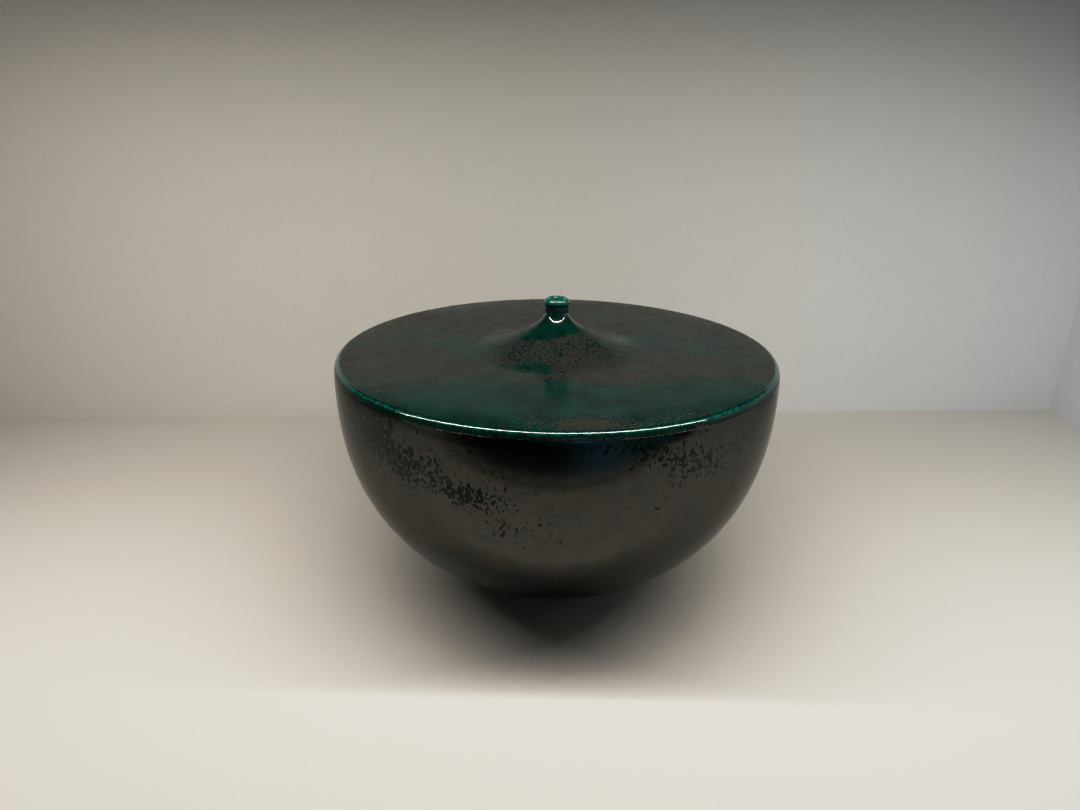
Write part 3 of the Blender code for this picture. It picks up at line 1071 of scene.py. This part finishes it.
@dataclass(frozen=True)
class Response:
    """How the camera answers to light: deeper shadows and softly rolled off lights.

    Args:
        points: pairs of scene light and recorded light, from dark to bright.
    """

    points: tuple[tuple[float, float], ...] = (
        (0.0, 0.0), (0.02, 0.009), (0.05, 0.025), (0.10, 0.052), (0.18, 0.102), (0.28, 0.178),
        (0.39, 0.300), (0.50, 0.430), (0.60, 0.550), (0.70, 0.645), (0.80, 0.720), (1.0, 0.830),
    )

    def load(self) -> None:
        """Set the scene's view transform and its curve."""
        settings = bpy.context.scene.view_settings
        settings.view_transform = "Standard"
        settings.use_curve_mapping = True
        curve = settings.curve_mapping.curves[3]
        while len(curve.points) < len(self.points):
            curve.points.new(0.5, 0.5)
        for point, place in zip(curve.points, self.points):
            point.location = place
        settings.curve_mapping.update()


@dataclass(frozen=True)
class Studio:
    """Pale floor and walls, one long strip light and the dark room in front.

    The floor and the walls are clear from behind, so that the ware can be looked at from every
    side. Sizes are in shares of the body's radius.
    """

    unit: float
    wall_behind: float = 1.97
    wall_turn: float = 4.2             # degrees that the walls are turned about Z
    wall_right: float = 3.82
    wall_height: float = 3.6
    dark_from: float = 2.2             # reflections of the wall darken between these levels
    dark_to: float = 2.8
    floor_reach: float = 16.0
    room_front: float = 2.4            # how far in front the dark room's card stands
    room_height: float = 8.0
    shade_start: float = 2.2           # where reflections of the floor start to darken
    shade_level: float = 0.004
    strip_height: float = 3.2
    strip_forward: float = 0.95
    strip_left: float = 4.0
    strip_right: float = 3.6
    strip_width: float = 0.07
    strip_power: float = 2.1
    strip_colour: Colour = (1.0, 0.955, 0.89)
    floor_colour: Colour = (0.72, 0.70, 0.665)
    # the right-hand colours are cooler and brighter: painted daylight from the right
    floor_right_painted_daylight: Colour = (0.74, 0.73, 0.71)
    wall_colour: Colour = (0.80, 0.795, 0.775)
    wall_right_painted_daylight: Colour = (0.81, 0.845, 0.88)
    unlit_colour: Colour = (0.02, 0.02, 0.02)
    card_light: Colour = (0.012, 0.014, 0.015)
    shade_light: Colour = (0.01, 0.01, 0.01)
    room_light: Colour = (0.008, 0.008, 0.008)
    backdrop_light: Colour = (0.62, 0.61, 0.59)
    glows: tuple[tuple[Colour, Colour, Colour], ...] = (     # centre, reach and light of each
        ((0.70, 0.0, 1.25), (1.10, 9.0, 0.75), (0.080, 0.400, 0.620)),
        ((0.90, 0.0, 0.35), (1.00, 9.0, 0.75), (0.080, 0.200, 0.310)),
        ((2.20, 0.0, 0.60), (1.40, 9.0, 0.90), (0.070, 0.160, 0.210)),
        ((-4.2, 0.0, 0.60), (3.00, 9.0, 1.60), (0.520, 0.540, 0.500)),
        ((0.00, 0.0, 0.00), (3.00, 9.0, 0.35), (0.140, 0.170, 0.190)),
        ((0.37, 0.0, 1.28), (0.12, 9.0, 0.08), (8.0, 22.0, 33.0)),
        ((5.20, 0.0, 0.31), (0.90, 9.0, 0.14), (0.8, 1.7, 2.6)),
    )

    def plane(self, name: str, corners: Corners, material: bpy.types.Material,
              sight: Sight = Sight.ALL) -> None:
        """Make one flat studio surface.

        Args:
            name: its name.
            corners: its corners in order, in shares of the body's radius.
            material: its material.
            sight: which rays meet it.
        """
        mesh = bpy.data.meshes.new(name)
        points = [Vector(corner) * self.unit for corner in corners]
        mesh.from_pydata(points, [], [tuple(range(len(points)))])
        mesh.materials.append(material)
        thing = bpy.data.objects.new(name, mesh)
        bpy.context.scene.collection.objects.link(thing)
        if sight is Sight.REFLECTIONS:
            for ray in ("camera", "diffuse", "shadow", "transmission", "volume_scatter"):
                setattr(thing, "visible_" + ray, False)

    def board(self, name: str, colour: Colour, painted_daylight_colour: Colour) -> bpy.types.Material:
        """Make a matt pale board, clear from behind and dark high up in reflections, with painted
        daylight towards the right.

        Args:
            name: the material's name.
            colour: its colour at the left.
            painted_daylight_colour: its colour at the right, painted cooler and brighter there as
                daylight from that side.

        Returns:
            The material.
        """
        material, sheet, place = new_material(name)
        shader = material.node_tree.nodes["Principled BSDF"]
        parts = sheet.split(place)
        # painted daylight: the board turns cooler and brighter towards the right
        painted_daylight_share = sheet.fade(parts["X"], -self.unit, self.wall_right * self.unit)
        even = sheet.blend_colour(painted_daylight_share, colour, painted_daylight_colour)
        fibre = sheet.fade(sheet.noise(place, 1.2 * MM), 0.3, 0.7, 1.0, 0.975)
        sheet.fill(shader, {"Base Color": sheet.scale(even, fibre), "Roughness": 0.9,
                            "Specular IOR Level": 0.0})
        above = sheet.fade(parts["Z"], self.dark_from * self.unit, self.dark_to * self.unit)
        seen = sheet.add("ShaderNodeLightPath").outputs["Is Camera Ray"]
        unlit = sheet.math("MULTIPLY", above, sheet.math("SUBTRACT", 1.0, seen))
        dark = sheet.add("ShaderNodeBsdfDiffuse", {"Color": self.unlit_colour}).outputs[0]
        front = sheet.blend_shader(unlit, shader.outputs[0], dark)
        behind = sheet.add("ShaderNodeNewGeometry").outputs["Backfacing"]
        clear = sheet.add("ShaderNodeBsdfTransparent").outputs[0]
        mixed = sheet.blend_shader(behind, front, clear)
        sheet.feed(material.node_tree.nodes["Material Output"].inputs["Surface"], mixed)
        return material

    @staticmethod
    def shine(sheet: NodeSheet, share: Feed, light: Feed) -> None:
        """Let a card shine with a light where share is 1, and stay clear where it is 0."""
        nodes = sheet.tree.nodes
        nodes.remove(nodes["Principled BSDF"])
        glow = sheet.add("ShaderNodeEmission", {"Color": light, "Strength": 1.0}).outputs[0]
        clear = sheet.add("ShaderNodeBsdfTransparent").outputs[0]
        mixed = sheet.blend_shader(share, clear, glow)
        sheet.feed(nodes["Material Output"].inputs["Surface"], mixed)

    def room_card(self) -> bpy.types.Material:
        """The dark room in front, with a few faint glows."""
        material, sheet, place = new_material("room_card")
        scaled = sheet.scale(place, 1 / self.unit)
        flat = sheet.vector("MULTIPLY", scaled, (1.0, 0.0, 1.0))
        light = self.card_light
        for centre, reach, colour in self.glows:
            feeds = {"Place": flat, "Centre": centre, "Reach": reach}
            weight = sheet.group(soft_spot_group(), feeds)["Weight"]
            light = sheet.add("ShaderNodeMix", {0: weight, 6: light, 7: colour},
                              data_type="RGBA", blend_type="ADD", clamp_result=False).outputs[2]
        self.shine(sheet, sheet.fade(sheet.split(scaled)["Z"], 0.0, 0.15), light)
        return material

    def shade_card(self) -> bpy.types.Material:
        """The floor's front edge falling into the dark."""
        material, sheet, place = new_material("shade_card")
        dark = sheet.fade(sheet.split(place)["Y"], -self.shade_start * self.unit,
                          -self.room_front * self.unit)
        self.shine(sheet, dark, self.shade_light)
        return material

    def strip(self) -> None:
        """Hang the long strip light, which shines straight down."""
        lamp = bpy.data.lights.new("strip", "AREA")
        lamp.shape = "RECTANGLE"
        lamp.size = (self.strip_left + self.strip_right) * self.unit
        lamp.size_y = self.strip_width * self.unit
        lamp.energy = self.strip_power
        lamp.color = self.strip_colour
        light = bpy.data.objects.new("strip", lamp)
        light.location = Vector(((self.strip_right - self.strip_left) / 2, -self.strip_forward,
                                 self.strip_height)) * self.unit
        light.visible_camera = False
        bpy.context.scene.collection.objects.link(light)

    def world(self) -> None:
        """A pale backdrop to the camera, and a dark room to every other ray."""
        world = bpy.data.worlds.new("room")
        world.use_nodes = True
        sheet = NodeSheet(world.node_tree)
        seen = sheet.add("ShaderNodeLightPath").outputs["Is Camera Ray"]
        colour = sheet.blend_colour(seen, self.room_light, self.backdrop_light)
        sheet.feed(world.node_tree.nodes["Background"].inputs["Color"], colour)
        bpy.context.scene.world = world

    @staticmethod
    def upright(start: tuple[float, float], end: tuple[float, float], height: float) -> Corners:
        """Corners of a wall that stands on the line from start to end."""
        return [(*start, 0.0), (*end, 0.0), (*end, height), (*start, height)]

    def flat(self, near: float, far: float, level: float) -> Corners:
        """Corners of a level strip as wide as the floor."""
        reach = self.floor_reach
        return [(-reach, near, level), (reach, near, level), (reach, far, level),
                (-reach, far, level)]

    def build(self) -> None:
        """Set up every part of the studio."""
        reach = self.floor_reach
        self.plane("studio_floor", self.flat(-reach, reach, 0.0),
                   self.board("floor_board", self.floor_colour, self.floor_right_painted_daylight))
        slope = tan(radians(self.wall_turn))
        board = self.board("wall_board", self.wall_colour, self.wall_right_painted_daylight)
        back_left = (-reach, self.wall_behind - reach * slope)
        corner = (self.wall_right, self.wall_behind + self.wall_right * slope)
        front_right = (self.wall_right + reach * slope, corner[1] - reach)
        self.plane("back_wall", self.upright(back_left, corner, self.wall_height), board)
        self.plane("right_wall", self.upright(corner, front_right, self.wall_height), board)
        front = -self.room_front
        self.plane("room_card", self.upright((reach, front), (-reach, front), self.room_height),
                   self.room_card(), Sight.REFLECTIONS)
        self.plane("shade_card", self.flat(front, -self.shade_start, self.shade_level),
                   self.shade_card(), Sight.REFLECTIONS)
        self.strip()
        self.world()


# ---- main


def main() -> None:
    """Build the studio, the bowl and the lid, and finish the frame."""
    logging.basicConfig(level=logging.INFO, format="%(name)s: %(message)s")
    lip_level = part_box(Body.LID.value)[1].z
    side = SideForm(body_radius=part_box(Body.BOWL.value)[1].x,
                    top_level=lip_level - Lid.neck_height)
    seam = Seam(side)
    tree = TurningTree()
    radius = side.body_radius
    Bowl(side, seam).build(tree, bowl_glaze(radius).build())
    Lid(side, seam).build(tree, lid_glaze(radius).build())
    Studio(radius).build()
    Viewpoint().place(radius)
    Response().load()


if __name__ == "__main__":
    main()
